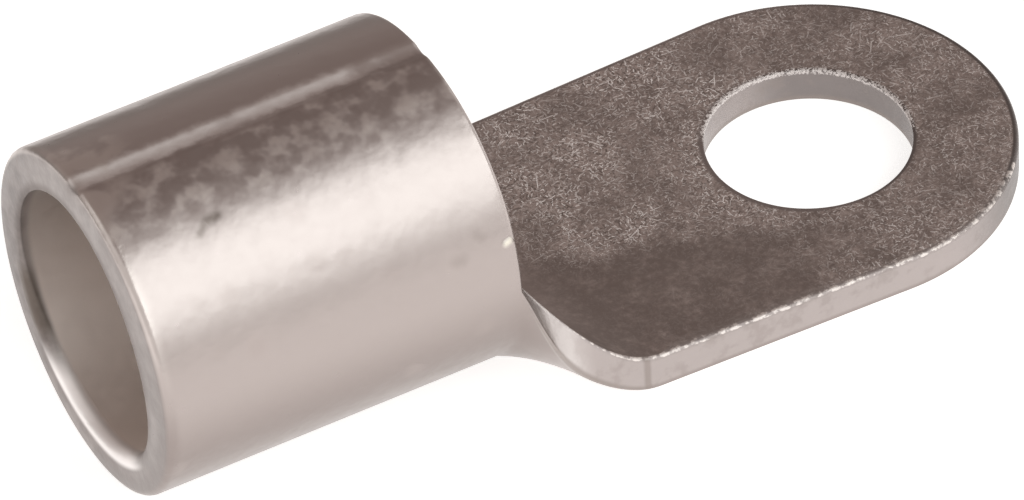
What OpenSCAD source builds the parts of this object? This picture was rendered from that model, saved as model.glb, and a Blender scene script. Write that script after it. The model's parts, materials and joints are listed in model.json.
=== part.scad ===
// Ring terminal: one folded and brazed sheet, with a round wire barrel and a flat ring tongue.
// The origin is the centre of the stud hole on the tongue's underside. +X points to the tip
// of the tongue, +Z up along the stud hole, and the barrel's open mouth faces -X.

/* [Tongue] */
// Diameter of the stud hole
stud_hole_d = 8.4; // [5:0.1:10.5]
// Width of the ring, which is round about the stud hole
ring_w = 16.9; // [16:0.1:20]
// Width of the tongue at its shoulders, where the neck begins
shoulder_w = 16.2; // [12:0.1:16.9]
// Thickness of the tongue
tongue_t = 1.65; // [1:0.05:2.4]
// Distance from the stud hole's centre back to the shoulders
shoulder_x = 11.5; // [9:0.1:14]

/* [Barrel] */
// Diameter of the bore that takes the conductor
barrel_bore_d = 11; // [8:0.1:13]
// Thickness of the barrel's wall
barrel_wall = 1.75; // [1:0.05:2.4]
// Length of the barrel
barrel_l = 15.3; // [8:0.1:30]
// Distance from the stud hole's centre back to the barrel's rear edge
barrel_x = 17.3; // [16:0.1:24]
// Radius of the rounding on the barrel's end edges
barrel_edge_r = 0.3; // [0.05:0.05:0.45]

/* [Neck] */
// Half angle of the barrel's lower wall that runs on into the neck
neck_angle = 88; // [60:1:88]
// How quickly the raised side edges come down to the tongue: 1 is even, more is early
neck_ease = 1.9; // [1:0.1:3]
// Extra thickness that the fold pushes out at the neck's side edges
neck_swell = 0.35; // [0:0.05:0.6]
// How far the outer skin stops short at those edges, where the shear cut them aslant
neck_shear = 0.8; // [0:0.05:1.2]

/* [Seam] */
// Depth of the shallow groove along the brazed seam
seam_depth = 0.12; // [0.05:0.01:0.3]
// Radius of the groove's round bottom
seam_r = 0.9; // [0.5:0.1:1.5]
// Angle of the seam from the top of the barrel
seam_turn = 2; // [-10:1:10]

/* [Hidden] */
$fn = 96;

barrel_r = barrel_bore_d / 2 + barrel_wall;
mean_r = barrel_bore_d / 2 + barrel_wall / 2;
neck_l = barrel_x - shoulder_x;
ring_r = ring_w / 2;

// The neck's ends run this far into the barrel's wall and the tongue, a little inside their skin
lap = 0.4;
skin = 0.02;
// How early the neck reaches the tongue's width
plan_ease = 4;
neck_rings = 14;
neck_steps = 16;

// A straight side of the tongue ends a little inside the ring's round, so that the two cross
touch_r = ring_r - skin;
side_angle = atan2(shoulder_w / 2, -shoulder_x)
    - acos(touch_r / norm([shoulder_x, shoulder_w / 2]));
touch_x = touch_r * cos(side_angle);
touch_y = touch_r * sin(side_angle);

// s runs from 0 at the barrel to 1 at the shoulders
function thickness(s) = barrel_wall + (tongue_t - barrel_wall) * s;
function edge_rise(s) = mean_r * (1 - cos(neck_angle)) * pow(1 - s, neck_ease);
function edge_out(s) =
    let (start = mean_r * sin(neck_angle), end = shoulder_w / 2)
    end - (end - start) * pow(1 - s, plan_ease);

// What the fold does to the side edges is strongest part of the way along and fades at both ends
function fold(s) = pow(sin(180 * sqrt(s)), 2);

// A point of the curled sheet. f runs from -1 to 1 across it, off is outward from its middle,
// and cut is how far this skin stops short of the sheet's edge. The curl is the circle that
// touches the flat and passes through the sheet's raised edge.
function sheet_point(x, s, f, off, inset, cut) =
    let (rise = edge_rise(s), out = edge_out(s) - inset, t = thickness(s))
    rise == 0
        ? [x, out * f, t / 2 - off]
        : let (
            r = (out * out + rise * rise) / (2 * rise),
            a = (2 * atan2(rise, out) - cut / (r + off) * 180 / PI) * f
          )
          [x, (r + off) * sin(a), t / 2 + r - (r + off) * cos(a)];

// One closed ring of points around the sheet's section, inset all round
function section(x, s, inset) =
    let (half = thickness(s) / 2 - inset)
    concat(
        [for (j = [0:neck_steps])
            let (f = 2 * j / neck_steps - 1, swell = neck_swell * fold(s) * pow(abs(f), 3))
            sheet_point(x, s, f, half + swell, inset, neck_shear * fold(s))],
        [for (j = [0:neck_steps])
            sheet_point(x, s, 1 - 2 * j / neck_steps, -half, inset, 0)]
    );

// The two triangles of a four-sided facet
function facet(a, b, c, d) = [[a, b, c], [a, c, d]];

// The sheet between the barrel and the tongue, which opens out from a round wall to a flat one
module neck() {
    rings = concat(
        [section(-barrel_x - lap, 0, barrel_edge_r)],
        [for (i = [0:neck_rings])
            let (s = i / neck_rings)
            section(-barrel_x + neck_l * s, s, (i == 0 || i == neck_rings) ? skin : 0)],
        [section(-shoulder_x + lap, 1, barrel_edge_r)]
    );
    count = len(rings[0]);
    last = len(rings) - 1;
    end = last * count;
    sides = [for (i = [0:last - 1], j = [0:count - 1])
        let (a = i * count + j, b = i * count + (j + 1) % count)
        each facet(a, a + count, b + count, b)];
    barrel_end = [for (j = [0:neck_steps - 1])
        each facet(j, j + 1, count - 2 - j, count - 1 - j)];
    tongue_end = [for (j = [0:neck_steps - 1])
        each facet(end + count - 1 - j, end + count - 2 - j, end + j + 1, end + j)];
    polyhedron([for (ring = rings) each ring], concat(sides, barrel_end, tongue_end));
}

// The corner that a rounding of radius r takes away from a square edge
module corner_waste(r) {
    difference() {
        square(r + skin);
        circle(r);
    }
}

// Places a shape made about Z on the barrel's axis, with its Z along +X
module on_barrel_axis(x) {
    translate([x, 0, barrel_r])
        rotate([0, 90, 0])
            children();
}

// The wall's section, rounded inside and out at the mouth
module wall_section() {
    difference() {
        translate([barrel_bore_d / 2, 0])
            square([barrel_wall, barrel_l]);
        translate([barrel_r - barrel_edge_r, barrel_edge_r])
            mirror([0, 1])
                corner_waste(barrel_edge_r);
        translate([barrel_bore_d / 2 + barrel_edge_r, barrel_edge_r])
            mirror([0, 1])
                mirror([1, 0])
                    corner_waste(barrel_edge_r);
    }
}

// The rounding of the barrel's rear edge, which stops where the neck runs on
module rear_rounding() {
    rotate([0, 0, neck_angle])
        rotate_extrude(angle = 360 - 2 * neck_angle)
            translate([barrel_r - barrel_edge_r, barrel_l - barrel_edge_r])
                corner_waste(barrel_edge_r);
}

module barrel() {
    difference() {
        on_barrel_axis(-barrel_x - barrel_l)
            difference() {
                rotate_extrude()
                    wall_section();
                rear_rounding();
            }
        seam_groove();
    }
}

// The shallow groove where the two edges of the rolled sheet are brazed together
module seam_groove() {
    on_barrel_axis(-barrel_x - barrel_l - lap)
        rotate([0, 0, 180 + seam_turn])
            translate([barrel_r + seam_r - seam_depth, 0, 0])
                cylinder(h = barrel_l + 2 * lap, r = seam_r);
}

module tongue() {
    difference() {
        union() {
            cylinder(h = tongue_t, r = ring_r);
            linear_extrude(tongue_t)
                polygon([
                    [-shoulder_x, shoulder_w / 2],
                    [touch_x, touch_y],
                    [touch_x, -touch_y],
                    [-shoulder_x, -shoulder_w / 2]
                ]);
        }
        translate([0, 0, -lap])
            cylinder(h = tongue_t + 2 * lap, d = stud_hole_d);
    }
}

module ring_terminal() {
    color("#b9aca6")
        union() {
            barrel();
            neck();
            tongue();
        }
}

ring_terminal();
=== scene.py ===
# %% [markdown]
# # Ring terminal
#
# A ring terminal joins a thick copper wire to a stud. The real one is a single piece of sheet:
# a T-shaped blank is cut out flat, its wide end is rolled into a barrel and brazed shut, and
# its narrow end stays flat as a tongue with a hole. Then the whole thing is tin-plated.
#
# The script follows that order. It cuts a flat blank, gives it thickness and rounds its
# edges, and only then folds it. A rounded edge is easy to make on a flat sheet and hard to
# make on a rolled one, so this is the easier way for a modeller too.
#
# The first cell loads the imported model. Every place and most sizes come from it.

# %% Load the frame
import json
import math

import bmesh
import bpy
from mathutils import Matrix, Vector


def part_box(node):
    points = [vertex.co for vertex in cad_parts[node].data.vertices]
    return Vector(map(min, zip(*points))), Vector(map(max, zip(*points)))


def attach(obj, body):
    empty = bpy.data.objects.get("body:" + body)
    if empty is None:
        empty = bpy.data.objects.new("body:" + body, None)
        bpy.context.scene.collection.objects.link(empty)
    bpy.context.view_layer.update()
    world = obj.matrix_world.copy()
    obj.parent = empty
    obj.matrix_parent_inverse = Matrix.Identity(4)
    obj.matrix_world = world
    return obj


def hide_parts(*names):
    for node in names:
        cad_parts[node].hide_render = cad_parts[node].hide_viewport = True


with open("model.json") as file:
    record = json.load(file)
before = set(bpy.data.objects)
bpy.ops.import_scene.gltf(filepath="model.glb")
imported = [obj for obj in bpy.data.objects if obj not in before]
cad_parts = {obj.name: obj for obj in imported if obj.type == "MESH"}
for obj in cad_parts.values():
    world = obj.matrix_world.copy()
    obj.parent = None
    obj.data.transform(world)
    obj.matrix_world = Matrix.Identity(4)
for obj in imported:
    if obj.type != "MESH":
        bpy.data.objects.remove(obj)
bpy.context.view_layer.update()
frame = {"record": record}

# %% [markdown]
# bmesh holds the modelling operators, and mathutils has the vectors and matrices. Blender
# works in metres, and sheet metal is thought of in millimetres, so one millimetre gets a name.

MM = 0.001
TINY = 1e-7
SAME_PLACE = 1e-6

# %% [markdown]
# ## Sizes
#
# The frame's record lists the interfaces with their sizes: the stud hole and the wire barrel.
# The box of the node gives the rest. The shape of the neck is not an interface, so its few
# numbers are stated here, and they are the ones that the solid model has.

# %% Read the sizes
def mount(name):
    """The record's mount of that name."""
    return next(m for m in frame["record"]["mounts"] if m["name"] == name)


stud_hole = mount("stud_hole")
wire_barrel = mount("wire_barrel")
low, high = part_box("ring_terminal")

hole_r = stud_hole["dims"]["r_mm"] * MM
tongue_t = stud_hole["dims"]["length_mm"] * MM
bore_r = wire_barrel["dims"]["r_mm"] * MM
barrel_r = high.z / 2
barrel_wall = barrel_r - bore_r
mean_r = (barrel_r + bore_r) / 2
mouth_x = low.x
rear_x = wire_barrel["pos_m"][0] + wire_barrel["dims"]["length_mm"] * MM / 2
ring_r = high.x

shoulder_x = -11.5 * MM  # where the sheet is flat and the straight sides start
shoulder_half = 8.1 * MM  # half the width there
neck_angle = math.radians(88)  # how far up the barrel the neck takes hold
neck_ease = 1.9  # how soon the sheet's edge comes down
plan_ease = 4  # how soon it spreads out
neck_swell = 0.35 * MM  # bulge of the squeezed outer corner
neck_shear = 0.8 * MM  # and how far that corner is dragged along
seam_turn = math.radians(2)  # how far the seam lies from the barrel's top
neck_l = shoulder_x - rear_x
barrel_l = rear_x - mouth_x
print(f"barrel {2000 * barrel_r:.1f} mm across, wall {1000 * barrel_wall:.2f} mm, "
      f"tongue {2000 * ring_r:.1f} mm wide and {1000 * tongue_t:.2f} mm thick")

# %% [markdown]
# ## How the neck is curled
#
# Between the barrel and the tongue the sheet opens out from round to flat. At each place
# along the neck its section is an arc of a circle that lies on the ground and passes through
# the sheet's raised edge. So two laws are enough: how high the edge is, and how far out.

# %% The neck's form
def neck_form(s):
    """Radius and half angle of the sheet's middle, from s = 0 at the barrel to 1 when flat."""
    rise = mean_r * (1 - math.cos(neck_angle)) * (1 - s) ** neck_ease
    start = mean_r * math.sin(neck_angle)
    out = shoulder_half - (shoulder_half - start) * (1 - s) ** plan_ease
    rise = max(rise, 1e-9)
    return (out * out + rise * rise) / (2 * rise), 2 * math.atan2(rise, out)


def neck_half(s):
    """Half width of the neck when it is unrolled flat."""
    radius, angle = neck_form(s)
    return radius * angle


print(f"neck unrolls from {2000 * neck_half(0):.1f} to {2000 * neck_half(1):.1f} mm wide")

# %% [markdown]
# ## The blank, part 1: the wide end
#
# The wide end becomes the barrel, so its width is the barrel's circumference. A grid is the
# natural start. It is drawn with one column for every two degrees of the barrel, so that the
# rolled wall will look round. The seam isn't quite at the top of the real barrel, so the
# grid is shifted a little to one side.

# %% Draw the wide end
STEP = math.radians(2)
around = round(2 * math.pi / STEP)
along = 22

sheet = bmesh.new()
wide_half = math.pi * mean_r
shift = seam_turn * mean_r
bmesh.ops.create_grid(
    sheet, x_segments=along, y_segments=around, size=1,
    matrix=Matrix.Translation(((mouth_x + rear_x) / 2, shift, 0))
    @ Matrix.Diagonal((barrel_l / 2, wide_half, 1, 1)),
)
print(f"wide end: {len(sheet.faces)} faces, expected {along * around}")

# %% [markdown]
# The seam will be a narrow groove, so the columns next to the two long edges are cut finer.

# %% Refine the long edges
FINE_COLUMNS = 3.2


def to_seam(point):
    """Distance on the blank from a point to the nearer long edge."""
    return wide_half - abs(point.y - shift)


near_seam = [
    e for e in sheet.edges
    if abs(e.verts[0].co.x - e.verts[1].co.x) < TINY
    and all(to_seam(v.co) < FINE_COLUMNS * STEP * mean_r for v in e.verts)
]
bmesh.ops.subdivide_edges(sheet, edges=near_seam, cuts=2, use_grid_fill=True)
print(f"{len(near_seam)} edges cut, {len(sheet.faces)} faces now")

# %% [markdown]
# ## The blank, part 2: the neck
#
# The neck is drawn by extruding the middle of the grid's rear edge, row after row. Each new
# row is moved forward and scaled to the neck's unrolled width at that place.

# %% Draw the neck
NECK_ROWS = 28
half_now = neck_half(0)
row_edges = [
    e for e in sheet.edges
    if all(abs(v.co.x - rear_x) < TINY and abs(v.co.y) < half_now + TINY for v in e.verts)
]
for row in range(NECK_ROWS):
    made = bmesh.ops.extrude_edge_only(sheet, edges=row_edges)["geom"]
    row_verts = [g for g in made if isinstance(g, bmesh.types.BMVert)]
    row_edges = [
        g for g in made
        if isinstance(g, bmesh.types.BMEdge) and all(v in row_verts for v in g.verts)
    ]
    half_next = neck_half((row + 1) / NECK_ROWS)
    bmesh.ops.translate(sheet, verts=row_verts, vec=(neck_l / NECK_ROWS, 0, 0))
    bmesh.ops.scale(sheet, verts=row_verts, vec=(1, half_next / half_now, 1))
    half_now = half_next
print(f"neck: {NECK_ROWS} rows of {len(row_edges)} faces")

# %% [markdown]
# ## The blank, part 3: the tongue
#
# The tongue's outline starts from the two ends of the last row. A vertex is extruded along
# the straight side, then spun round the stud hole's centre, and then extruded back along
# the other side. A circle with as many vertices makes the hole, and bridging the two loops
# fills the tongue with neat four-sided faces.

# %% Draw the tongue
SIDE_STEPS = 22
TIP_STEPS = 110
RING_CUTS = 5
touch_r = ring_r - 0.02 * MM
shoulder = Vector((shoulder_x, shoulder_half, 0))
touch_angle = math.atan2(shoulder.y, shoulder.x) - math.acos(touch_r / shoulder.length)
touch = Vector((math.cos(touch_angle), math.sin(touch_angle), 0)) * ring_r


def draw_line(start, end, steps):
    """Extrudes a vertex in even steps to the end point, and returns the last new vertex."""
    stride = (end - start.co) / steps
    last = start
    for _ in range(steps):
        last = bmesh.ops.extrude_vert_indiv(sheet, verts=[last])["verts"][0]
        bmesh.ops.translate(sheet, verts=[last], vec=stride)
    return last


corner = max(row_verts, key=lambda v: v.co.y)
side_end = draw_line(corner, touch, SIDE_STEPS)
spun = bmesh.ops.spin(
    sheet, geom=[side_end], cent=(0, 0, 0), axis=(0, 0, 1),
    angle=-2 * touch_angle, steps=TIP_STEPS,
)["geom_last"]
tip_end = next(g for g in spun if isinstance(g, bmesh.types.BMVert))
draw_line(tip_end, Vector((shoulder_x, -shoulder_half, 0)), SIDE_STEPS)
bmesh.ops.remove_doubles(sheet, verts=sheet.verts, dist=SAME_PLACE)

outline = [e for e in sheet.edges if not e.link_faces or (
    e.is_boundary and all(abs(v.co.x - shoulder_x) < SAME_PLACE for v in e.verts))]
hole = bmesh.ops.create_circle(sheet, segments=len(outline), radius=hole_r)["verts"]
hole_edges = [e for e in sheet.edges if all(v in hole for v in e.verts)]
filled = bmesh.ops.bridge_loops(sheet, edges=outline + hole_edges)
spokes = [e for e in filled["edges"] if any(v in hole for v in e.verts)]
bmesh.ops.subdivide_edges(sheet, edges=spokes, cuts=RING_CUTS, use_grid_fill=True)
print(f"tongue: outline and hole of {len(outline)} edges each, {len(spokes)} spokes")

# %% [markdown]
# The neck narrows so fast at first that its outer columns run very near its edge. They are
# slid inwards a little, the nearest one most, to leave room for the round on the rim. With no
# room the bevel would fold the faces there over one another.

# %% Clear the neck's edge
CLEAR = 0.38 * MM
CLEAR_REACH = 0.3 * MM
CLEAR_END, CLEAR_FADE = 0.5, 0.25
slid = 0
for v in sheet.verts:
    s = (v.co.x - rear_x) / neck_l
    if not -TINY < s < CLEAR_END:
        continue
    gap = neck_half(max(0, s)) - abs(v.co.y)
    if gap < TINY:
        continue
    fade = min(1, max(0, (CLEAR_END - s) / CLEAR_FADE))
    v.co.y -= math.copysign(CLEAR * math.exp(-gap / CLEAR_REACH) * fade, v.co.y)
    slid += 1
print(f"{slid} vertices of the neck slid inwards")

# %% [markdown]
# ## Thickness and rounded edges
#
# Extruding all faces at once gives the sheet its thickness. A Solidify modifier would do too,
# but an extrusion leaves both skins at known heights, and the later steps tell them apart by it.

# %% Give it thickness
top = bmesh.ops.extrude_face_region(sheet, geom=sheet.faces[:])["geom"]
bmesh.ops.translate(
    sheet, verts=[g for g in top if isinstance(g, bmesh.types.BMVert)], vec=(0, 0, tongue_t)
)
bmesh.ops.recalc_face_normals(sheet, faces=sheet.faces)
open_edges = sum(not e.is_manifold for e in sheet.edges)
print(f"solid blank: {len(sheet.faces)} faces, {open_edges} open edges")

# %% [markdown]
# Every rim is then bevelled. The bevel's four steps make a small round, which is what catches
# the light on cut metal. The two edges that meet at the seam stay sharp, as the brazing metal
# joins them.

# %% Round the rims
RIM_ROUND = 0.17 * MM
REACH = 1.01 * RIM_ROUND  # a little more, to find every point of a round


def on_long_edge(edge):
    """True for the two edges of the blank that meet at the seam."""
    return all(v.co.x < rear_x + TINY and to_seam(v.co) < TINY for v in edge.verts)


rims = [
    e for e in sheet.edges
    if abs(e.verts[0].co.z - e.verts[1].co.z) < TINY
    and e.calc_face_angle() > math.radians(60) and not on_long_edge(e)
]
rounded = bmesh.ops.bevel(
    sheet, geom=rims, offset=RIM_ROUND, offset_type="OFFSET", segments=4,
    profile=0.5, affect="EDGES", material=-1, clamp_overlap=False,
)
print(f"{len(rims)} rim edges rounded, radius {RIM_ROUND / MM:.2f} mm")

# %% [markdown]
# The hole's rims are crisper, because the punch left them after the outline was cut. Their
# rounds are shrunk towards the hole's edge, in the plane and in height alike. A punched hole
# also widens a little on its way down, where the slug breaks out, so the wall leans outwards.

# %% Sharpen the hole's rims
HOLE_ROUND = 0.08 * MM
BREAK_OUT = 0.11 * MM
share = HOLE_ROUND / RIM_ROUND
sharpened = 0
for v in sheet.verts:
    past_edge = v.co.xy.length - hole_r
    if past_edge > REACH:
        continue
    skin_z = 0 if v.co.z < tongue_t / 2 else tongue_t
    v.co.xy *= (hole_r + past_edge * share) / (hole_r + past_edge)
    v.co.z = skin_z + (v.co.z - skin_z) * share
    v.co.xy *= 1 + BREAK_OUT * (1 - v.co.z / tongue_t) / hole_r
    sharpened += 1
print(f"{sharpened} vertices of the hole's rims drawn in to {HOLE_ROUND / MM:.2f} mm")

# %% [markdown]
# The barrel's two ends are rounder than the punched rims, because tumbling wears them most.
# The mouth's inner edge is eased a lot at the bottom, where the wire's strands slide in. The
# rounds there are stretched to their own sizes, which keeps them round.

# %% Ease the barrel's ends
REAR_EXTRA = 0.06 * MM
REAR_BLEND = 1.5 * MM
MOUTH_OUTER = 0.30 * MM
MOUTH_INNER, MOUTH_SLIDE = 0.07 * MM, 0.6 * MM
neck_edge = neck_half(0)


def end_round(point, is_mouth, is_outer):
    """Radius of the round at an end of the barrel."""
    if not is_mouth:
        past_corner = min(1, max(0, (abs(point.y) - neck_edge) / REAR_BLEND))
        return RIM_ROUND + REAR_EXTRA * past_corner
    if is_outer:
        return MOUTH_OUTER
    down = 0.5 + 0.5 * math.cos(point.y / mean_r)
    return MOUTH_INNER + MOUTH_SLIDE * down ** 3


stretched = 0
for v in sheet.verts:
    is_mouth = v.co.x < (mouth_x + rear_x) / 2
    end_x = mouth_x if is_mouth else rear_x
    in_neck = not is_mouth and (
        v.co.x > rear_x + TINY or abs(v.co.y) < neck_edge + RIM_ROUND * 1.5)
    if abs(v.co.x - end_x) > REACH or in_neck:
        continue
    is_outer = v.co.z < tongue_t / 2
    stretch = end_round(v.co, is_mouth, is_outer) / RIM_ROUND
    skin_z = 0 if is_outer else tongue_t
    v.co.x = end_x + (v.co.x - end_x) * stretch
    v.co.z = skin_z + (v.co.z - skin_z) * stretch
    stretched += 1
print(f"{stretched} vertices of the barrel's ends stretched")

# %% [markdown]
# ## The seam's groove
#
# The brazing metal fills the seam, but not quite to the top. Along both long edges the outer
# skin is lowered on a smooth curve, so the two halves make one shallow groove once they meet.

# %% Lower the long edges
GROOVE_HALF = 0.45 * MM
GROOVE_DEPTH = 0.11 * MM
lowered = 0
for v in sheet.verts:
    gap = to_seam(v.co)
    if gap > GROOVE_HALF or v.co.x > rear_x + TINY or v.co.z > tongue_t / 2:
        continue
    v.co.z += GROOVE_DEPTH * (1 - (gap / GROOVE_HALF) ** 2) ** 1.5 * (1 - v.co.z / tongue_t)
    lowered += 1
print(f"{lowered} vertices lowered by up to {GROOVE_DEPTH / MM:.2f} mm")

# %% [markdown]
# ## Notes that the folded sheet keeps
#
# Once the sheet is folded, it is hard to tell where a point was on the blank. Three notes are
# written down first. A UV map holds the flat coordinates, which is how a sheet-metal pattern
# is unrolled anyway. An attribute called rim is 1 on the cut and rounded edges and 0
# elsewhere, and one called inner goes from 0 on the outer skin to 1 on the inner skin, so the
# material can treat them in their own way.

# %% Keep the flat coordinates
MAP_SPAN = 48 * MM
flat_map = sheet.loops.layers.uv.new("flat")
rim_note = sheet.verts.layers.float.new("rim")
inner_note = sheet.verts.layers.float.new("inner")
for v in sheet.verts:
    v[inner_note] = v.co.z / tongue_t
for face in sheet.faces:
    for corner_loop in face.loops:
        spot = corner_loop.vert.co
        corner_loop[flat_map].uv = (
            (spot.x - mouth_x) / MAP_SPAN, 0.5 + (spot.y - shift) / MAP_SPAN)
for face in rounded["faces"]:
    for v in face.verts:
        v[rim_note] = 1
print(f"{sum(v[rim_note] > 0 for v in sheet.verts)} of {len(sheet.verts)} vertices are on a rim")

# %% [markdown]
# ## The fold
#
# Each vertex of the blank is moved to its place on the folded sheet. In the barrel that is a
# plain roll. In the neck it follows the two laws above, and the outer corner of the sheet is
# a little swollen and sheared, as happens when thick metal is squeezed into a curl.

# %% Fold the blank
def fold(spot):
    """Where a point of the blank goes."""
    depth = spot.z / tongue_t
    if spot.x >= shoulder_x:
        return spot.copy()
    s = min(max((spot.x - rear_x) / neck_l, 0), 1)
    wall = barrel_wall + (tongue_t - barrel_wall) * s
    off = (0.5 - depth) * wall
    if spot.x <= rear_x:
        angle = spot.y / mean_r
        radius = mean_r + off
        return Vector((spot.x, radius * math.sin(angle), barrel_r - radius * math.cos(angle)))
    middle, half_angle = neck_form(s)
    across = spot.y / neck_half(s)
    curl = math.sin(math.pi * math.sqrt(s)) ** 2
    outward = 1 - depth
    radius = middle + off + neck_swell * curl * abs(across) ** 3 * outward
    angle = (half_angle - neck_shear * curl * outward / radius) * across
    return Vector((spot.x, radius * math.sin(angle), wall / 2 + middle - radius * math.cos(angle)))


for v in sheet.verts:
    v.co = fold(v.co)
print(f"folded to {max(v.co.z for v in sheet.verts) / MM:.2f} mm high")

# %% [markdown]
# ## The brazed seam
#
# The two long edges of the wide end now touch. Their faces lie inside the metal, so they are
# deleted, and the touching vertices are merged. The lowered skin on both sides stays, and is
# the seam's shallow groove.

# %% Close the seam
def on_seam(point):
    """True for a point in the plane where the two long edges meet."""
    if point.x > rear_x + TINY:
        return False
    turned = math.atan2(point.y, barrel_r - point.z) - (math.pi + seam_turn)
    return abs(math.remainder(turned, 2 * math.pi)) * mean_r < SAME_PLACE


inside = [f for f in sheet.faces if all(on_seam(v.co) for v in f.verts)]
bmesh.ops.delete(sheet, geom=inside, context="FACES")
touching = [v for v in sheet.verts if on_seam(v.co)]
bmesh.ops.remove_doubles(sheet, verts=touching, dist=2 * SAME_PLACE)
bmesh.ops.recalc_face_normals(sheet, faces=sheet.faces)
open_edges = sum(not e.is_manifold for e in sheet.edges)
print(f"seam: {len(inside)} inner faces removed, {open_edges} open edges left")

# %% [markdown]
# ## A mouth that isn't quite true
#
# A barrel that was rolled from sheet springs back a little, so its mouth isn't a perfect
# circle: it is squeezed by a few percent along one diameter, and the wall is thicker on the
# near upper side. Both faults fade along the barrel. They only push metal inwards, so the
# part keeps its size.

# %% Squeeze the mouth
SQUEEZE = 0.055
SQUEEZE_TURN = math.radians(60)
THICKER = 0.42 * MM
THICKER_REACH = 9 * MM
squeeze_way = Vector((0, -math.sin(SQUEEZE_TURN), math.cos(SQUEEZE_TURN)))
axis_up = Vector((0, 0, barrel_r))
for v in sheet.verts:
    if v.co.x > rear_x:
        continue
    share = (rear_x - v.co.x) / barrel_l
    from_axis = v.co - axis_up
    from_axis.x = 0
    toward = from_axis.dot(squeeze_way)
    near_mouth = max(0, 1 - (v.co.x - mouth_x) / THICKER_REACH) ** 2
    thicker = THICKER * max(0, toward / from_axis.length) ** 2 * near_mouth * v[inner_note]
    v.co -= squeeze_way * (toward * SQUEEZE * share + thicker)
print(f"mouth squeezed by {100 * SQUEEZE:.1f}%")

# %% [markdown]
# The barrel's rear edge isn't quite square either. On the near side it lies a little further
# back, so the points round it are slid along the barrel by a smooth amount.

# %% Lean the rear edge
LEAN = 0.22 * MM
LEAN_REACH = 8 * MM
lean_start = rear_x - LEAN_REACH
for v in sheet.verts:
    if not lean_start < v.co.x < shoulder_x:
        continue
    if v.co.x < rear_x:
        share = (v.co.x - lean_start) / LEAN_REACH
    else:
        share = (shoulder_x - v.co.x) / neck_l
    share = share * share * (3 - 2 * share)
    v.co.x += LEAN * share * max(0, -v.co.y / barrel_r)
print(f"rear edge leans by {LEAN / MM:.2f} mm")

# %% [markdown]
# ## The piece
#
# The finished mesh becomes an object at the origin, since its place is in its vertices. It
# rides on the only body there is, and the imported solid that it replaces is hidden. The
# Weighted Normal modifier lets the large faces decide the shading, so the small rounds stay crisp.

# %% Make the piece
terminal_mesh = bpy.data.meshes.new("ring_terminal_skin")
sheet.to_mesh(terminal_mesh)
sheet.free()
terminal_mesh.shade_smooth()
terminal = bpy.data.objects.new("ring_terminal_skin", terminal_mesh)
bpy.context.collection.objects.link(terminal)
even = terminal.modifiers.new("even_shading", "WEIGHTED_NORMAL")
even.mode = "FACE_AREA_WITH_ANGLE"
even.keep_sharp = True
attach(terminal, "root")
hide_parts("ring_terminal")
print(f"piece: {len(terminal_mesh.polygons)} faces")

# %% [markdown]
# ## Helpers for materials
#
# A procedural material is a small calculation that runs at each point of the surface. The
# helpers below add one node each and return its output, so a material reads like a formula.
# Lengths in these formulas are in millimetres, since scratches are easier to think of that way.

# %% Node helpers
def start_material(name):
    """A new material that uses nodes, and its Principled shader."""
    made = bpy.data.materials.new(name)
    made.use_nodes = True
    return made, made.node_tree.nodes["Principled BSDF"]


def feed(socket, value):
    """Links an output to a socket, or sets the socket to a plain value."""
    if isinstance(value, bpy.types.NodeSocket):
        socket.id_data.links.new(value, socket)
    elif isinstance(value, tuple) and len(value) == 3 and len(socket.default_value) == 4:
        socket.default_value = (*value, 1)
    else:
        socket.default_value = value


def calc(tree, operation, first, second=0.0, third=0.0):
    """One Math node."""
    node = tree.nodes.new("ShaderNodeMath")
    node.operation = operation
    for socket, value in zip(node.inputs, (first, second, third)):
        feed(socket, value)
    return node.outputs[0]


def chain(tree, operation, values):
    """The same Math operation over several values."""
    result = values[0]
    for value in values[1:]:
        result = calc(tree, operation, result, value)
    return result


def total(tree, *values):
    """The sum of several values."""
    return chain(tree, "ADD", values)


def times(tree, *values):
    """The product of several values."""
    return chain(tree, "MULTIPLY", values)


def strongest(tree, *values):
    """The largest of several values."""
    return chain(tree, "MAXIMUM", values)


def weighed(tree, rows):
    """The sum of several values, each times its own weight."""
    return total(tree, *(times(tree, value, weight) for value, weight in rows))


def without(tree, mask):
    """1 where a mask is 0, and 0 where it is 1."""
    return calc(tree, "SUBTRACT", 1.0, mask)


print("arithmetic helpers are ready")

# %% [markdown]
# The next helpers work with places and colours. A smooth step turns a place or a noise into a
# mask from 0 to 1, and nearly everything below is made of such masks. A noise texture always
# gives the same pattern at the same place, so it is shifted by a seed to give a fresh one.

# %% Texture helpers
def vector(tree, operation, first, second=(0, 0, 0)):
    """One Vector Math node."""
    node = tree.nodes.new("ShaderNodeVectorMath")
    node.operation = operation
    feed(node.inputs[0], first)
    feed(node.inputs[1], second)
    is_number = operation in ("DOT_PRODUCT", "DISTANCE", "LENGTH")
    return node.outputs["Value" if is_number else "Vector"]


def split(tree, kind, value):
    """The three parts of a vector (kind XYZ) or of a colour (kind Color)."""
    node = tree.nodes.new("ShaderNodeSeparate" + kind)
    feed(node.inputs[0], value)
    return node.outputs


def step(tree, value, start, end, low_value=0.0, high_value=1.0):
    """A smooth step from one value to another between start and end."""
    node = tree.nodes.new("ShaderNodeMapRange")
    node.interpolation_type = "SMOOTHSTEP"
    feed(node.inputs["Value"], value)
    for name, number in zip(("From Min", "From Max", "To Min", "To Max"),
                            (start, end, low_value, high_value)):
        feed(node.inputs[name], number)
    return node.outputs["Result"]


def band(tree, value, start, rise, fall, end):
    """1 between rise and fall, and 0 before start and after end."""
    return times(tree, step(tree, value, start, rise), step(tree, value, fall, end, 1.0, 0.0))


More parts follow.
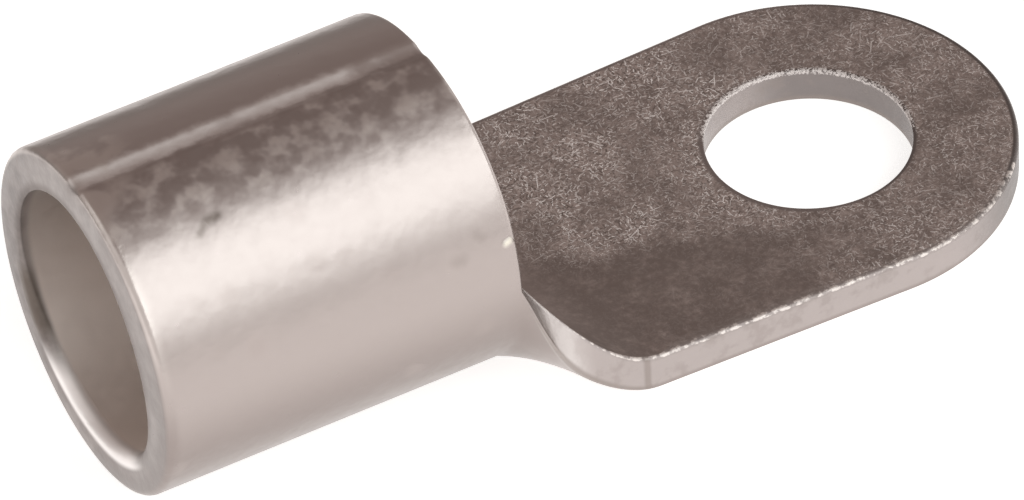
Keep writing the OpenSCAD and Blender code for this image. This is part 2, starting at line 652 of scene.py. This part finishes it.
def moved(tree, where, location, scale=1.0):
    """A place that is shifted, and scaled the same in all directions."""
    node = tree.nodes.new("ShaderNodeMapping")
    feed(node.inputs["Vector"], where)
    node.inputs["Location"].default_value = location
    node.inputs["Scale"].default_value = (scale, scale, scale)
    return node.outputs["Vector"]


def grain(tree, where, size, detail, rough, seed):
    """Noise with blotches of about the given size in millimetres."""
    node = tree.nodes.new("ShaderNodeTexNoise")
    feed(node.inputs["Vector"], moved(
        tree, where, (seed * 7.3, seed * 3.1, seed * 5.7), 1 / size))
    node.inputs["Scale"].default_value = 1
    node.inputs["Detail"].default_value = detail
    node.inputs["Roughness"].default_value = rough
    return node.outputs["Fac"]


def swing(tree, noise, reach):
    """Noise as a number between minus and plus the reach."""
    return calc(tree, "MULTIPLY_ADD", noise, 2 * reach, -reach)


def blend(tree, amount, first, second):
    """Two colours mixed by an amount from 0 to 1."""
    node = tree.nodes.new("ShaderNodeMix")
    node.data_type = "RGBA"  # its colours are sockets 6 and 7, after those for other data
    feed(node.inputs["Factor"], amount)
    feed(node.inputs[6], first)
    feed(node.inputs[7], second)
    return node.outputs[2]


print("texture helpers are ready")

# %% [markdown]
# ## Tin plating, part 1: where things are
#
# The plating is one metal, but it doesn't look the same everywhere. The masks in this cell
# say where the barrel, the tongue and the cut edges are. The turn is the angle from the top
# of the barrel towards the near side, in degrees, and the arc is the same thing as a length
# along the barrel's skin. Places along the part are written from the mouth, the barrel's
# rear edge or the shoulder, so that a mark stays beside the edge that it belongs to.

# %% Places on the terminal
tin, metal = start_material("tin_plating")
nodes = tin.node_tree
origin = nodes.nodes.new("ShaderNodeTexCoord").outputs["Object"]
place = moved(nodes, origin, (0, 0, 0), 1 / MM)
x_mm, y_mm, z_mm = split(nodes, "XYZ", place)
mouth, rear, shoulder_line = mouth_x / MM, rear_x / MM, shoulder_x / MM


def noted(name):
    """A vertex attribute's value."""
    node = nodes.nodes.new("ShaderNodeAttribute")
    node.attribute_name = name
    return node.outputs["Fac"]


rim = noted("rim")
inner = noted("inner")
outer = step(nodes, inner, 0.6, 0.3)
above_axis = calc(nodes, "SUBTRACT", z_mm, barrel_r / MM)
turn = calc(nodes, "DEGREES", calc(nodes, "ARCTAN2", times(nodes, y_mm, -1.0), above_axis))
arc_mm = times(nodes, turn, math.radians(barrel_r / MM))
on_tongue = step(nodes, x_mm, rear + 1.3, shoulder_line - 1.0)
on_barrel = times(nodes, step(nodes, x_mm, rear + 0.3, rear - 0.2), outer)
in_bore = times(nodes, step(nodes, x_mm, rear + 0.8, rear - 0.2), step(nodes, inner, 0.7, 0.98))
flat_skin = times(nodes, on_tongue, step(nodes, rim, 0.95, 0.8))
print("masks: rim, inner and outer skin, turn, tongue, barrel, bore")

# %% [markdown]
# ## Tin plating, part 2: the seam and the mottled band
#
# Molten tin doesn't wet rolled copper evenly. Beside the seam, where the brazing heat was,
# it lies in soft blotches with a darker tone. They are drawn with noise of two sizes, and
# held to a band beside the seam whose border is itself bent by noise. The brazing metal in
# the seam is paler than the tin, and towards the rear it breaks up into the blotches. Two
# pale patches lie at the mouth, one on either side of the seam. Low on the barrel the tin
# is painted darker, as painted shade towards the underside.

# %% Mottled band and seam
HEAT_WANDER = 12.0  # degrees
SEAM_WANDER = 2.0

blotch = grain(nodes, place, 0.95, 2, 0.5, 2)
bent_turn = total(nodes, turn, swing(nodes, grain(nodes, place, 1.1, 2, 0.55, 1), HEAT_WANDER))
past_mouth = step(nodes, calc(nodes, "MULTIPLY_ADD", turn, 0.13, x_mm), mouth + 2.2, mouth + 3.4)
heat_band = times(nodes, band(nodes, bent_turn, 1.0, 6.0, 20.0, 30.0), on_barrel, past_mouth)
dark_blotches = times(nodes, heat_band, step(nodes, blotch, 0.60, 0.38))
pale_blotches = times(nodes, heat_band, step(nodes, blotch, 0.47, 0.68, 0.0, 0.7))

seam_line = total(nodes, turn, swing(nodes, grain(nodes, place, 0.6, 3, 0.6, 4), SEAM_WANDER))
rear_break = step(
    nodes, total(nodes, x_mm, times(nodes, blotch, 6.0)), rear - 1.2, rear + 1.3, 1.0, 0.3)
braze = times(nodes, band(nodes, seam_line, -5.4, -1.2, 0.4, 4.4), on_barrel, rear_break)
braze_edge = times(nodes, band(nodes, seam_line, 2.4, 4.0, 5.2, 7.5), on_barrel)
pale_patch = strongest(
    nodes,
    times(nodes, band(nodes, bent_turn, -18.0, -11.0, -7.5, -3.0), on_barrel,
          step(nodes, x_mm, mouth + 3.6, mouth + 1.8)),
    times(nodes, band(nodes, bent_turn, 1.0, 8.0, 14.0, 22.0), on_barrel,
          without(nodes, past_mouth)))
# Painted shade: the barrel's skin is painted darker low down, towards the underside.
low_painted_shade = times(
    nodes, outer, step(nodes, x_mm, shoulder_line - 2.0, rear + 0.3), total(
        nodes, step(nodes, turn, 58.0, 72.0, 0.0, 0.48),
        step(nodes, turn, 82.0, 114.0, 0.0, 0.52)))
print("seam and heat band are masked")

# %% [markdown]
# ## Tin plating, part 3: scratches of the tongue
#
# The blanks are tumbled before they are plated, which covers the flat faces with short
# scratches in all directions. A Voronoi texture is handy for such a scatter. Each cell has
# its own position and random colour. The position places one scratch in the middle of the
# cell, and the colour turns it and decides how strong it is. Some scratches catch the light,
# and others are dark because tin and dirt have filled them.

# %% Scratch layers
def scratches(tree, where, cell, length, width, share, seed):
    """Short scratches, one per cell of the given size, in random directions."""
    start = moved(tree, where, (seed * 5.3, seed * 8.9, 0))
    cells = tree.nodes.new("ShaderNodeTexVoronoi")
    cells.voronoi_dimensions = "2D"
    cells.feature = "F1"
    feed(cells.inputs["Vector"], start)
    cells.inputs["Scale"].default_value = 1 / cell
    cells.inputs["Randomness"].default_value = 1
    turn_lot, pick_lot, strength_lot = split(tree, "Color", cells.outputs["Color"])
    turned = tree.nodes.new("ShaderNodeVectorRotate")
    turned.rotation_type = "Z_AXIS"
    feed(turned.inputs["Vector"], vector(tree, "SUBTRACT", start, cells.outputs["Position"]))
    feed(turned.inputs["Angle"], times(tree, turn_lot, 2 * math.pi))
    along_it, off_it = (
        calc(tree, "ABSOLUTE", part)
        for part in split(tree, "XYZ", turned.outputs["Vector"])[:2])
    return times(
        tree, step(tree, off_it, width * 0.3, width, 1.0, 0.0),
        step(tree, along_it, length * 0.3, length * 0.5, 1.0, 0.0),
        step(tree, pick_lot, 1 - share, 1 - share * 0.6),
        step(tree, strength_lot, 0.0, 1.0, 0.3, 1.0))


def ragged(where, reach):
    """A place that is pushed about on the plane by soft noise."""
    push = vector(nodes, "SUBTRACT", swirl.outputs["Color"], (0.5, 0.5, 0.5))
    return vector(nodes, "ADD", where, vector(nodes, "MULTIPLY", push, (reach, reach, 0)))


def scratch_set(rows, first_seed):
    """The strongest of several layers of scratches."""
    return strongest(nodes, *(
        scratches(nodes, scratch_place, *row, first_seed + number)
        for number, row in enumerate(rows)))


flat_place = vector(nodes, "MULTIPLY", place, (1, 1, 0))
swirl = nodes.nodes.new("ShaderNodeTexNoise")
feed(swirl.inputs["Vector"], flat_place)
swirl.inputs["Scale"].default_value = 2.2
swirl.inputs["Detail"].default_value = 1
scratch_place = ragged(flat_place, 0.018)

# Each row is a layer: the cell's size, the scratch's length and width, and the share of cells
# that have one.
bright_marks_and_glint = scratch_set((
    (0.14, 0.17, 0.034, 0.7), (0.20, 0.25, 0.036, 0.6), (0.31, 0.40, 0.036, 0.6),
    (0.80, 1.05, 0.036, 0.30),
), 1)
dark_marks = scratch_set(((0.18, 0.26, 0.052, 0.9), (0.30, 0.42, 0.056, 0.9)), 7)
print("scratches are drawn")

# %% [markdown]
# The scratches come in patches, and they thin out towards the tip. The near corner beside the
# neck has few, because the barrel sheltered it while the parts were tumbled.

# %% Patches of scratches
worn_patches = grain(nodes, place, 3.0, 4, 0.6, 6)
patch_drift = times(nodes, worn_patches, 3.0)
sheltered = times(
    nodes, step(nodes, total(nodes, x_mm, patch_drift), 1.5, -3.5),
    step(nodes, total(nodes, y_mm, patch_drift, times(nodes, x_mm, 0.25)), -1.2, -4.2))
patchy = times(
    nodes, step(nodes, worn_patches, 0.38, 0.58, 0.52, 1.0),
    step(nodes, x_mm, -3.0, 2.0, 1.0, 0.7),
    without(nodes, times(nodes, sheltered, 0.85)), flat_skin)
bright_marks_and_glint = times(nodes, bright_marks_and_glint, patchy)
dark_marks = times(nodes, dark_marks, patchy)
print("scratches are laid")

# %% [markdown]
# ## Tin plating, part 4: single marks
#
# A few marks stand out on the real part: a small hooked dent near the mouth, two faint
# smudges and a bright burr at the barrel's rear edge, a witness line where the forming tool
# ended, and faint dimples all over the barrel. The dent's dark tone is painted shade, the
# dark reflection that its hollow would catch. A stroke is the distance to a short line,
# which is cheap to work out and can be put exactly where it belongs. On the barrel its ends
# are given along the part and round the skin, and soft noise makes its border ragged.

# %% Strokes
def stroke(tree, where, start, end, softness):
    """1 on a short line between two points of a plane, fading out over the softness."""
    start, end = Vector((*start, 0)), Vector((*end, 0))
    way = end - start
    from_start = vector(tree, "SUBTRACT", where, tuple(start))
    held = tree.nodes.new("ShaderNodeClamp")
    feed(held.inputs[0], vector(
        tree, "DOT_PRODUCT", from_start, tuple(way / way.length_squared)))
    nearest = vector(tree, "MULTIPLY", held.outputs[0], tuple(way))
    apart = vector(tree, "DISTANCE", from_start, nearest)
    return step(tree, apart, 0.0, softness, 1.0, 0.0)


unrolled = nodes.nodes.new("ShaderNodeCombineXYZ")
feed(unrolled.inputs[0], x_mm)
feed(unrolled.inputs[1], arc_mm)
skin_place = unrolled.outputs[0]
rough_place = ragged(skin_place, 0.25)
# Painted shade: the dent is painted dark, for the dark reflection its hollow would catch; its
# relief is slight.
dent = times(nodes, on_barrel, strongest(
    nodes,
    times(nodes, stroke(nodes, rough_place, (-29.15, 4.22), (-28.75, 3.86), 0.26), 0.7),
    stroke(nodes, rough_place, (-28.60, 3.80), (-28.20, 3.74), 0.36)))
smudges = times(nodes, on_barrel, strongest(
    nodes,
    stroke(nodes, rough_place, (-19.75, 9.10), (-19.45, 9.10), 0.45),
    stroke(nodes, rough_place, (-18.65, 8.35), (-18.50, 8.50), 0.35)))
burr = times(nodes, outer, stroke(nodes, skin_place, (-17.55, 9.14), (-17.40, 9.08), 0.24))

WITNESS = shoulder_line - 0.70
witness = times(
    nodes, rim, step(nodes, y_mm, -7.2, -7.6),
    band(nodes, x_mm, WITNESS - 0.24, WITNESS - 0.06, WITNESS + 0.06, WITNESS + 0.22))

DIMPLE_SCALE = 0.6
pits = nodes.nodes.new("ShaderNodeTexVoronoi")
feed(pits.inputs["Vector"], place)
pits.inputs["Scale"].default_value = DIMPLE_SCALE
pit_lot = split(nodes, "Color", pits.outputs["Color"])[0]
dimples = times(
    nodes, step(nodes, pits.outputs["Distance"], 0.1, 0.42, 1.0, 0.0),
    step(nodes, pit_lot, 0.35, 0.6), on_barrel)
print("dent, smudges, burr, witness line and dimples are placed")

# %% [markdown]
# ## Tin plating, part 5: the cut edges
#
# The rims were cut, not rolled, so they take the tin in their own way. The mouth's face is
# grey, with painted shade towards its far side. Its outer round is painted paler at the top
# and darker low down, and its inner edge, eased where the wire's strands slide in, carries a
# painted glint at the bottom and a painted dark streak higher up on the far side. The tongue's
# side wall is dull, with a painted highlight beside the neck, painted shade along its lower
# edge and towards the tip, and chips along its upper edge. The hole's wall is painted darker
# on its right, and its upper rim on the far side carries a painted glint, a bright, hairy ring.

# %% Masks of the cut edges
side_mottle = grain(nodes, place, 0.9, 3, 0.6, 18)
mouth_rim = times(nodes, step(nodes, x_mm, mouth + 0.7, mouth + 0.3), rim)
mouth_round = times(nodes, mouth_rim, step(nodes, inner, 0.20, 0.08))
mouth_face = times(nodes, mouth_rim, step(nodes, inner, 0.04, 0.18))
inner_rim = times(nodes, mouth_rim, step(nodes, inner, 0.60, 0.75))
# Painted glint: the mouth's inner edge is painted bright low down.
painted_inner_glint = times(nodes, inner_rim, step(nodes, z_mm, 3.4, 2.2))
# Painted shade: a dark streak on the inner edge, high on the far side.
painted_dark_streak = times(
    nodes, inner_rim, band(nodes, z_mm, 3.2, 4.0, 5.6, 6.6), step(nodes, y_mm, 2.0, 3.0))

cut_edge = times(nodes, rim, step(nodes, x_mm, rear + 0.1, rear + 0.7))
# Painted shade along the lower round of the tongue's cut edge.
lower_rim_painted_shade = times(nodes, cut_edge, step(nodes, inner, 0.22, 0.08))
# Painted highlight on the side wall beside the neck.
neck_side_glint = times(
    nodes, rim, band(nodes, x_mm, rear + 0.3, rear + 1.0, rear + 1.9, rear + 3.1),
    step(nodes, y_mm, -5.0, -7.0), step(nodes, side_mottle, 0.3, 0.6, 0.4, 0.9))

HOLE_ZONE = (-6.0, -5.5, 5.5, 6.0)  # a square round the hole, in millimetres
hole_zone = times(nodes, band(nodes, x_mm, *HOLE_ZONE), band(nodes, y_mm, *HOLE_ZONE))
chip_noise = grain(nodes, place, 0.30, 2, 0.6, 9)
top_rim = times(
    nodes, cut_edge, step(nodes, inner, 0.86, 0.95), step(nodes, y_mm, -4.0, -5.9),
    without(nodes, hole_zone))
chips = step(nodes, total(nodes, top_rim, chip_noise), 1.42, 1.60)

# Painted glint: the hole's upper rim is painted bright on the side that faces the light, in a
# ragged, hairy ring.
glint_side = step(
    nodes, total(nodes, times(nodes, x_mm, 0.47), times(nodes, y_mm, 0.88)), -1.2, 1.0)
from_edge = calc(nodes, "SUBTRACT", vector(nodes, "LENGTH", flat_place), hole_r / MM)
rim_glint = times(
    nodes, step(nodes, from_edge, 0.44, 0.04), glint_side, step(nodes, inner, 0.80, 0.92))
hairs = grain(nodes, place, 0.11, 2, 0.7, 21)
rim_glint = step(nodes, calc(nodes, "MULTIPLY_ADD", hairs, 2.0, rim_glint), 1.78, 2.02)
# The painted glint joins the bright scratches.
bright_marks_and_glint = strongest(nodes, bright_marks_and_glint, times(nodes, rim_glint, 0.85))
print("cut edges are masked")

# %% [markdown]
# ## Tin plating, part 6: tone
#
# The tones come from pale burnished metal and painted glints down to painted dark reflections.
# Some surfaces change their tone slowly, such as the bore, which is painted darker at its top
# and paler at its bottom as painted shade and light, and those have two tones that are
# blended by the place. The layers are then laid over one another in order, like thin coats
# of paint, each one as strong as its mask.

# %% Tones
CLEAN_TIN = (0.575, 0.508, 0.486)
DULL_TIN = (0.43, 0.365, 0.345)
PALE_TIN = (0.80, 0.73, 0.69)
DARK_TIN = (0.30, 0.255, 0.235)
# Painted shade: the darker tone painted low on the barrel and low on the mouth's outer round.
PAINTED_SHADE_TIN = (0.31, 0.262, 0.246)
# Burnished metal of the braze and the bright scratches; the same colour paints the glints.
BURNISHED_AND_GLINT = (0.95, 0.90, 0.88)
BARE_BURR = (0.93, 0.88, 0.78)
CHIPPED = (0.90, 0.83, 0.79)
# Painted highlight on the neck's side wall.
NECK_GLINT_TONE = (0.66, 0.61, 0.592)
# Painted shade: the dark colour painted into the dent and onto the mouth's inner edge, for the
# dark room they would mirror.
PAINTED_DARK = (0.16, 0.13, 0.11)

speckle = grain(nodes, place, 0.07, 2, 0.7, 15)
cloud = weighed(nodes, (
    (grain(nodes, place, 1.4, 3, 0.6, 8), 0.38),
    (grain(nodes, place, 0.30, 2, 0.6, 19), 0.36),
    (times(nodes, speckle, patchy), 0.44),
))
tongue_tone = blend(
    nodes, step(nodes, cloud, 0.325, 0.715), (0.37, 0.317, 0.296), (0.76, 0.67, 0.633))
# Painted shade and light: the bore is painted dark towards its top and pale towards its bottom.
bore_light_and_shade = blend(
    nodes, step(nodes, z_mm, 11.5, 2.0), (0.43, 0.383, 0.355), (0.90, 0.815, 0.765))
# The mouth's grey face, with painted shade towards its far side.
mouth_face_tone_and_shade = blend(
    nodes, step(nodes, y_mm, 1.5, 6.0), (0.272, 0.237, 0.226), (0.20, 0.174, 0.166))
# The tongue's side wall, with painted shade towards the tip.
outline_tone_and_shade = blend(
    nodes, step(nodes, x_mm, 1.5, 6.8), (0.445, 0.392, 0.378), (0.215, 0.19, 0.182))
# The hole's wall, with painted shade on its right side.
hole_wall_tone_and_shade = blend(
    nodes, step(nodes, x_mm, -0.8, 1.6), (0.375, 0.33, 0.318), (0.25, 0.22, 0.212))
# The cut edges' own mottle, laid over the painted shade of their walls.
edge_tone_and_shade = blend(
    nodes, step(nodes, side_mottle, 0.50, 0.68, 0.0, 0.35),
    blend(nodes, hole_zone, outline_tone_and_shade, hole_wall_tone_and_shade), DARK_TIN)

tone = CLEAN_TIN
# Some of these coats are painted light and shade: the underside, the dent, the mouth's outer
# round, face and inner edge, the bore, the tongue's side walls and hole wall, and the glint on the
# hole's rim.
for mask, strength, colour in (
    (low_painted_shade, 1.0, PAINTED_SHADE_TIN),
    (dark_blotches, 1.0, DULL_TIN),
    (pale_blotches, 1.0, PALE_TIN),
    (braze, 0.85, BURNISHED_AND_GLINT),
    (braze_edge, 0.45, DULL_TIN),
    (pale_patch, 0.75, PALE_TIN),
    (dent, 0.7, PAINTED_DARK),
    (smudges, 0.30, DARK_TIN),
    (burr, 0.8, BARE_BURR),
    (dimples, 0.3, DULL_TIN),
    (in_bore, 1.0, bore_light_and_shade),
    # Painted light and shade: the mouth's outer round is painted paler at its top and darker low
    # down.
    (mouth_round, step(nodes, z_mm, 8.0, 11.5, 0.0, 0.35), PALE_TIN),
    (mouth_round, step(nodes, z_mm, 9.0, 6.0, 0.0, 0.6), PAINTED_SHADE_TIN),
    (mouth_face, step(nodes, side_mottle, 0.3, 0.7, 1.0, 0.8), mouth_face_tone_and_shade),
    (painted_inner_glint, 1.0, BURNISHED_AND_GLINT),
    (painted_dark_streak, 0.8, PAINTED_DARK),
    (cut_edge, 1.0, edge_tone_and_shade),
    (neck_side_glint, 1.0, NECK_GLINT_TONE),
    (lower_rim_painted_shade, 0.75, DARK_TIN),
    (flat_skin, 1.0, tongue_tone),
    (dark_marks, 0.95, DARK_TIN),
    (bright_marks_and_glint, 0.95, BURNISHED_AND_GLINT),
    (chips, 0.8, CHIPPED),
    (witness, 0.7, DARK_TIN),
):
    tone = blend(nodes, times(nodes, mask, strength), tone, colour)
feed(metal.inputs["Base Color"], tone)
metal.inputs["Metallic"].default_value = 1
print("tone is laid in coats")

# %% [markdown]
# ## Tin plating, part 7: polish and relief
#
# The skin is polished by tumbling, and each kind of mark makes it a little duller. Relief
# is what makes a metal's marks change with the light: soft waves over everything, more of
# them on the rolled barrel, and small heights at the marks. Heights are given in
# millimetres. Only this fine texture is relief, as every visible form is in the mesh.

# %% Polish and relief
polish_grain = grain(nodes, place, 0.5, 3, 0.6, 10)
polish = total(nodes, calc(nodes, "MULTIPLY_ADD", polish_grain, 0.16, 0.23), weighed(nodes, (
    (heat_band, 0.08),
    (on_tongue, 0.10),
    (top_rim, 0.15),
    (braze, 0.16),
    (in_bore, 0.25),
    (bright_marks_and_glint, 0.45),
    (burr, 0.3),
)))
feed(metal.inputs["Roughness"], polish)

heights = weighed(nodes, (
    (grain(nodes, place, 2.6, 2, 0.5, 11), 0.050),
    (times(nodes, grain(nodes, place, 1.0, 2, 0.5, 16), on_barrel), 0.022),
    (grain(nodes, place, 0.45, 2, 0.5, 12), 0.004),
    (dent, -0.002),
    (burr, 0.05),
    (dimples, -0.004),
    (times(nodes, speckle, on_tongue), 0.004),
    (bright_marks_and_glint, -0.002),
    (times(nodes, chip_noise, rim), 0.010),
    (times(nodes, chip_noise, top_rim), 0.03),
    (witness, -0.03),
))
relief = nodes.nodes.new("ShaderNodeBump")
relief.inputs["Distance"].default_value = MM
relief.inputs["Strength"].default_value = 1
feed(relief.inputs["Height"], heights)
feed(metal.inputs["Normal"], relief.outputs["Normal"])
terminal_mesh.materials.append(tin)
print(f"tin plating: {len(nodes.nodes)} nodes")

# %% [markdown]
# ## Floor
#
# The terminal lies on a light table: a white sheet that is lit from above and glows a little,
# which keeps the shadow soft and the background pale. Behind the terminal the metal mirrors a
# darker table, as the lamp is under the front half of it, and that keeps the barrel's far edge
# dark. A Light Path node leaves that half pale where it is looked at directly.

# %% Light table
TABLE_HALF = 800 * MM
GLOW, GLOW_BEHIND = 0.70, 0.02
DARK_FROM, DARK_TO = 26 * MM, 65 * MM
SHADED_FROM, SHADED_TO = 30 * MM, 55 * MM
WHITE_PAPER = (0.8, 0.8, 0.8)
SHADED_PAPER = (0.30, 0.285, 0.27)

floor_mesh = bpy.data.meshes.new("light_table")
ground = bmesh.new()
bmesh.ops.create_grid(ground, x_segments=1, y_segments=1, size=TABLE_HALF)
ground.to_mesh(floor_mesh)
ground.free()
floor = bpy.data.objects.new("light_table", floor_mesh)
floor.location = (0, 0, low.z)
bpy.context.collection.objects.link(floor)

paper, paper_shader = start_material("white_sheet")
table = paper.node_tree
table_y = split(table, "XYZ", table.nodes.new("ShaderNodeTexCoord").outputs["Object"])[1]
mirrored = without(table, table.nodes.new("ShaderNodeLightPath").outputs["Is Camera Ray"])
unlit = times(table, step(table, table_y, DARK_FROM, DARK_TO), mirrored)
glow = calc(table, "MULTIPLY_ADD", unlit, GLOW_BEHIND - GLOW, GLOW)
shaded = times(table, step(table, table_y, SHADED_FROM, SHADED_TO), mirrored)
paper_tone = blend(table, shaded, WHITE_PAPER, SHADED_PAPER)
feed(paper_shader.inputs["Base Color"], paper_tone)
paper_shader.inputs["Roughness"].default_value = 0.9
paper_shader.inputs["Emission Color"].default_value = (1, 0.995, 0.985, 1)
feed(paper_shader.inputs["Emission Strength"], glow)
floor_mesh.materials.append(paper)
print("floor is ready")

# %% [markdown]
# ## Light
#
# The room is dim and warm, and a tall softbox stands on the near side. A round metal part
# shows its surroundings as stripes, so the softbox's height and its soft upper and lower
# edges are what draw the barrel's highlight. Two softboxes of different heights, one in front
# of the other, make those edges soft.

# %% Softboxes
SOFTBOX_COLOUR = (0.935, 1, 1.0)
lit_point = Vector((-12, 0, 5)) * MM


def softbox(name, azimuth, elevation, distance, width, height, strength):
    """An area light that faces the terminal; the strength is its brightness as seen."""
    lamp = bpy.data.lights.new(name, "AREA")
    lamp.shape = "RECTANGLE"
    lamp.size = width
    lamp.size_y = height
    lamp.energy = strength * math.pi * width * height
    lamp.color = SOFTBOX_COLOUR
    around, up = math.radians(azimuth), math.radians(elevation)
    toward = Vector((
        math.sin(around) * math.cos(up), -math.cos(around) * math.cos(up), math.sin(up)))
    holder = bpy.data.objects.new(name, lamp)
    holder.location = lit_point + toward * distance
    holder.rotation_euler = toward.to_track_quat("Z", "Y").to_euler()
    holder.visible_camera = False
    bpy.context.collection.objects.link(holder)


softbox("near_softbox", 22, 43, 0.60, 0.90, 0.43, 1.02)
softbox("soft_edge", 22, 42, 0.62, 0.95, 0.70, 0.58)
print("softboxes are hung")

# %% [markdown]
# The room itself is a world with a calculation in place of a picture. It is dim overhead, and
# its walls are pale at four sides: low down on the near side, which the barrel's lower skin
# mirrors, at the mouth's end and at the tongue's end, which the cut edges mirror, and a little
# on the far side. A place in the room is a direction here, so its parts go from -1 to 1.

# %% Room
ROOM_DIM = (0.27, 0.222, 0.205)
ROOM_PALE = (0.85, 0.83, 0.81)

world = bpy.data.worlds.new("room")
bpy.context.scene.world = world
world.use_nodes = True
room = world.node_tree
room_x, room_y, room_z = split(
    room, "XYZ", room.nodes.new("ShaderNodeTexCoord").outputs["Generated"])
not_far = step(room, room_y, 0.60, 0.30)
near_side = times(room, step(room, room_y, -0.45, -0.85), step(room, room_z, 0.5, 0.05))
mouth_side = times(
    room, step(room, room_x, -0.10, -0.35, 0.0, 0.85), step(room, room_z, 0.90, 0.72), not_far)
tongue_side = times(
    room, step(room, room_x, 0.55, 0.72, 0.0, 0.8), step(room, room_z, 0.75, 0.50), not_far)
far_side = times(
    room, step(room, room_y, 0.60, 0.95, 0.0, 0.16), step(room, room_z, 0.60, 0.05))
wall_light = strongest(room, near_side, mouth_side, tongue_side, far_side)
air = room.nodes["Background"]
feed(air.inputs["Color"], blend(room, wall_light, ROOM_DIM, ROOM_PALE))
air.inputs["Strength"].default_value = 1
print("room is ready")

# %% [markdown]
# ## Camera
#
# The terminal is looked at from above the near side of its mouth, with a long lens from about
# forty centimetres, so its edges stay nearly parallel. The camera's axes are worked out from
# two angles and a slight roll. An object that tracks a target would be easier to set up, but
# it could not be rolled.

# %% Camera
VIEW_AZIMUTH = math.radians(-27.80)
VIEW_ELEVATION = math.radians(41.55)
VIEW_ROLL = math.radians(-2.85)
VIEW_DISTANCE = 411.7 * MM
aim = Vector((-13.44, 0.47, 1.65)) * MM

back = Vector((
    math.sin(VIEW_AZIMUTH) * math.cos(VIEW_ELEVATION),
    -math.cos(VIEW_AZIMUTH) * math.cos(VIEW_ELEVATION),
    math.sin(VIEW_ELEVATION),
))
right = Vector((math.cos(VIEW_AZIMUTH), math.sin(VIEW_AZIMUTH), 0))
upward = back.cross(right)
rolled_right = right * math.cos(VIEW_ROLL) + upward * math.sin(VIEW_ROLL)
rolled_up = upward * math.cos(VIEW_ROLL) - right * math.sin(VIEW_ROLL)
eye_data = bpy.data.cameras.new("camera")
eye_data.lens = 364.3
eye_data.sensor_width = 36
eye_data.clip_start = 0.01
eye = bpy.data.objects.new("camera", eye_data)
axes = Matrix((rolled_right, rolled_up, back)).transposed().to_4x4()
eye.matrix_world = Matrix.Translation(aim + back * VIEW_DISTANCE) @ axes
bpy.context.collection.objects.link(eye)
bpy.context.scene.camera = eye
bpy.context.scene.view_settings.view_transform = "Standard"
print(f"camera stands {VIEW_DISTANCE / MM:.0f} mm away")

# %% [markdown]
# ## Finish
#
# The view layer is updated, so that every object's place is current.

# %% Finish
bpy.context.view_layer.update()
